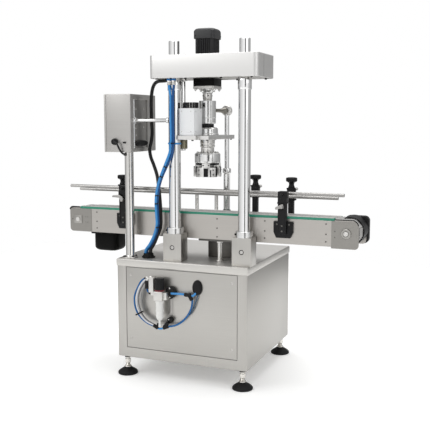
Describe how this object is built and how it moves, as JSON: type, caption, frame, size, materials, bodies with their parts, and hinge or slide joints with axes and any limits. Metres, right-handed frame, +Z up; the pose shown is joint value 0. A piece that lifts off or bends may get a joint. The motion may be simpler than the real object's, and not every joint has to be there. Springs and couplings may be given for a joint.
{
  "type": "capping machine",
  "caption": "Semi-automatic bottle capping machine: steel cabinet, column-guided drive head with spinning chuck, slat conveyor, guide rails and control box.",
  "frame": {"origin": "on the floor under the middle of the whole machine's box", "axes": "+Z up, +X along the conveyor to the out-feed end, +Y from the front panel to the back"},
  "size_m": [1.355, 0.655, 1.4949],
  "materials": {
    "brushed_steel": "warm brushed stainless",
    "satin_cover": "satin silver-white coat",
    "chrome": "bright ground and plated",
    "black_paint": "satin black",
    "black_plastic": "matt",
    "rubber": "matt",
    "aluminium": "turned and milled",
    "white_enamel": "satin off-white",
    "teal_plastic": "low-friction strip",
    "grey_plastic": "matt acetal",
    "blue_hose": "glossy tube",
    "red_plastic": "glossy"
  },
  "bodies": {
    "base": {"cabinet_body": "brushed_steel", "deck_plate": "brushed_steel", "front_panel": "brushed_steel", "column_block_left": "brushed_steel", "column_block_right": "brushed_steel", "column_left": "chrome", "column_right": "chrome", "conveyor_plate_front": "brushed_steel", "conveyor_plate_rear": "brushed_steel", "chain_guide": "teal_plastic", "slat_chain": "grey_plastic", "conveyor_gearmotor": "black_paint", "conveyor_stand": "brushed_steel", "end_guard": "black_plastic", "rail_bracket_front_left": "black_plastic", "rail_bracket_front_right": "black_plastic", "rail_bracket_rear_left": "black_plastic", "rail_bracket_rear_mid": "black_plastic", "rail_bracket_rear_right": "black_plastic", "rod_sleeve": "aluminium", "box_pole": "chrome", "control_box": "brushed_steel", "box_lead": "black_plastic", "regulator_body": "aluminium", "regulator_bowl": "aluminium", "regulator_hoses": "blue_hose", "main_cable": "rubber", "air_hose": "blue_hose"},
    "head": {"head_plate": "brushed_steel", "head_cover": "satin_cover", "head_gearmotor": "black_paint", "gearbox_flange": "aluminium", "press_cylinder": "white_enamel", "hanger_rod": "chrome"},
    "drive_shaft": {"drive_shaft": "chrome"},
    "carriage": {"carriage_plate": "aluminium", "bearing_hub": "aluminium", "rotary_union": "aluminium", "press_piston": "chrome"},
    "chuck": {"spindle": "chrome", "chuck_body": "aluminium"},
    "jaw_1": {"jaw_1": "aluminium"},
    "jaw_2": {"jaw_2": "aluminium"},
    "jaw_3": {"jaw_3": "aluminium"},
    "drive_roller": {"drive_roller": "grey_plastic"},
    "idler_roller": {"idler_roller": "grey_plastic"},
    "rail_front": {"guide_rail_front": "chrome"},
    "rail_rear": {"guide_rail_rear": "chrome"},
    "wing_lever_left": {"wing_lever_left": "aluminium"},
    "wing_lever_right": {"wing_lever_right": "aluminium"},
    "rail_knob_left": {"rail_knob_left": "black_plastic"},
    "rail_knob_mid": {"rail_knob_mid": "black_plastic"},
    "rail_knob_right": {"rail_knob_right": "black_plastic"},
    "regulator_knob": {"regulator_knob": "black_plastic"},
    "control_door": {"control_door": "brushed_steel"},
    "stop_button": {"stop_button": "red_plastic"},
    "foot_front_left": {"foot_front_left": "rubber"},
    "foot_front_right": {"foot_front_right": "rubber"},
    "foot_rear_left": {"foot_rear_left": "rubber"},
    "foot_rear_right": {"foot_rear_right": "rubber"}
  },
  "joints": [
    {"name": "head_height", "type": "slide", "parent": "base", "child": "head", "axis": [0, 0, 1], "range_m": [0, 0.045], "deforming": ["main_cable", "air_hose"]},
    {"name": "press_stroke", "type": "slide", "parent": "head", "child": "carriage", "axis": [0, 0, -1], "range_m": [0, 0.04]},
    {"name": "chuck_spin", "type": "hinge", "parent": "carriage", "child": "chuck", "pos_m": [-0.0115, -0.1025, 0.95], "axis": [0, 0, 1], "continuous": true},
    {"name": "drive_spin", "type": "hinge", "parent": "head", "child": "drive_shaft", "pos_m": [-0.0115, -0.1025, 1.2], "axis": [0, 0, 1], "continuous": true},
    {"name": "jaw_1_close", "type": "slide", "parent": "chuck", "child": "jaw_1", "axis": [-0.2588, 0.9659, 0], "range_m": [0, 0.004]},
    {"name": "jaw_2_close", "type": "slide", "parent": "chuck", "child": "jaw_2", "axis": [-0.7071, -0.7071, 0], "range_m": [0, 0.004]},
    {"name": "jaw_3_close", "type": "slide", "parent": "chuck", "child": "jaw_3", "axis": [0.9659, -0.2588, 0], "range_m": [0, 0.004]},
    {"name": "drive_roller_turn", "type": "hinge", "parent": "base", "child": "drive_roller", "pos_m": [-0.6145, -0.1025, 0.668], "axis": [0, 1, 0], "continuous": true},
    {"name": "idler_roller_turn", "type": "hinge", "parent": "base", "child": "idler_roller", "pos_m": [0.612, -0.1025, 0.668], "axis": [0, 1, 0], "continuous": true},
    {"name": "rail_front_set", "type": "slide", "parent": "base", "child": "rail_front", "axis": [0, 1, 0], "range_m": [-0.015, 0.02]},
    {"name": "rail_rear_set", "type": "slide", "parent": "base", "child": "rail_rear", "axis": [0, 1, 0], "range_m": [-0.02, 0.015]},
    {"name": "wing_lever_left_turn", "type": "hinge", "parent": "base", "child": "wing_lever_left", "pos_m": [-0.3694, -0.2098, 0.7674], "axis": [0, 1, 0], "range_deg": [-90, 90]},
    {"name": "wing_lever_right_turn", "type": "hinge", "parent": "base", "child": "wing_lever_right", "pos_m": [0.3563, -0.2098, 0.7674], "axis": [0, 1, 0], "range_deg": [-90, 90]},
    {"name": "rail_knob_left_turn", "type": "hinge", "parent": "base", "child": "rail_knob_left", "pos_m": [-0.48, -0.0082, 0.85], "axis": [0, 0, 1], "range_deg": [-180, 180]},
    {"name": "rail_knob_mid_turn", "type": "hinge", "parent": "base", "child": "rail_knob_mid", "pos_m": [0.1751, -0.0082, 0.85], "axis": [0, 0, 1], "range_deg": [-180, 180]},
    {"name": "rail_knob_right_turn", "type": "hinge", "parent": "base", "child": "rail_knob_right", "pos_m": [0.3368, -0.0082, 0.85], "axis": [0, 0, 1], "range_deg": [-180, 180]},
    {"name": "regulator_turn", "type": "hinge", "parent": "base", "child": "regulator_knob", "pos_m": [-0.1458, -0.3075, 0.43], "axis": [0, 0, 1], "range_deg": [-135, 135]},
    {"name": "door_swing", "type": "hinge", "parent": "base", "child": "control_door", "pos_m": [-0.4277, -0.0343, 1.0978], "axis": [0, 0, 1], "range_deg": [-110, 0]},
    {"name": "stop_press", "type": "slide", "parent": "control_door", "child": "stop_button", "axis": [1, 0, 0], "range_m": [0, 0.004], "stiffness_N_per_m": 800},
    {"name": "foot_front_left_level", "type": "hinge", "parent": "base", "child": "foot_front_left", "pos_m": [-0.3365, -0.2425, 0.05], "axis": [0, 0, 1], "range_deg": [-180, 180]},
    {"name": "foot_front_right_level", "type": "hinge", "parent": "base", "child": "foot_front_right", "pos_m": [0.2035, -0.2425, 0.05], "axis": [0, 0, 1], "range_deg": [-180, 180]},
    {"name": "foot_rear_left_level", "type": "hinge", "parent": "base", "child": "foot_rear_left", "pos_m": [-0.3365, 0.2875, 0.05], "axis": [0, 0, 1], "range_deg": [-180, 180]},
    {"name": "foot_rear_right_level", "type": "hinge", "parent": "base", "child": "foot_rear_right", "pos_m": [0.2035, 0.2875, 0.05], "axis": [0, 0, 1], "range_deg": [-180, 180]}
  ],
  "couplings": [
    {"joint": "drive_spin", "follows": "chuck_spin", "ratio": 1},
    {"joint": "jaw_2_close", "follows": "jaw_1_close", "ratio": 1},
    {"joint": "jaw_3_close", "follows": "jaw_1_close", "ratio": 1},
    {"joint": "idler_roller_turn", "follows": "drive_roller_turn", "ratio": 1}
  ]
}
